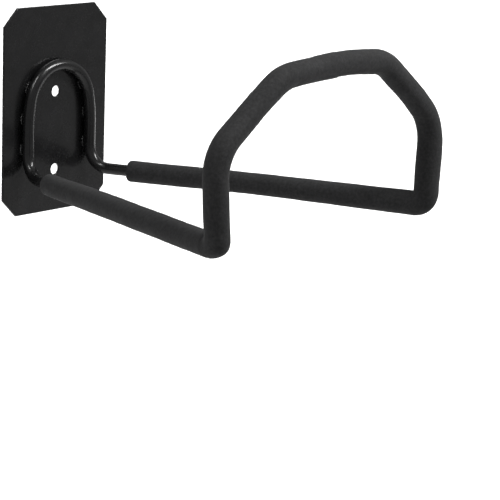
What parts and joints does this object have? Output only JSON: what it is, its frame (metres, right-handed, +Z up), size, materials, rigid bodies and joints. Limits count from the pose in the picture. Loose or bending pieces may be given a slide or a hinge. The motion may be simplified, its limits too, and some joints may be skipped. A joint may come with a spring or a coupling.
{
  "type": "hose hanger",
  "caption": "Wall hanger for a coiled garden hose: a flat plate with cut corners, a rod arch welded to it, splayed arms and an upturned front loop, both in foam sleeves.",
  "frame": {"origin": "middle of the wall plate's back face, in the wall's surface", "axes": "+Y into the wall, so the hanger reaches out along -Y; +Z up; +X to the right as one faces the wall"},
  "size_m": [0.272, 0.2993, 0.17],
  "materials": {
    "black_powder_coat": "semi-gloss black powder coat on steel",
    "charcoal_foam": "matte charcoal closed-cell foam tube with a fine mottled skin"
  },
  "bodies": {
    "root": {"wall_plate": "black_powder_coat", "hanger_rod": "black_powder_coat", "weld_beads": "black_powder_coat", "foam_sleeve_left": "charcoal_foam", "foam_sleeve_right": "charcoal_foam"}
  },
  "joints": []
}
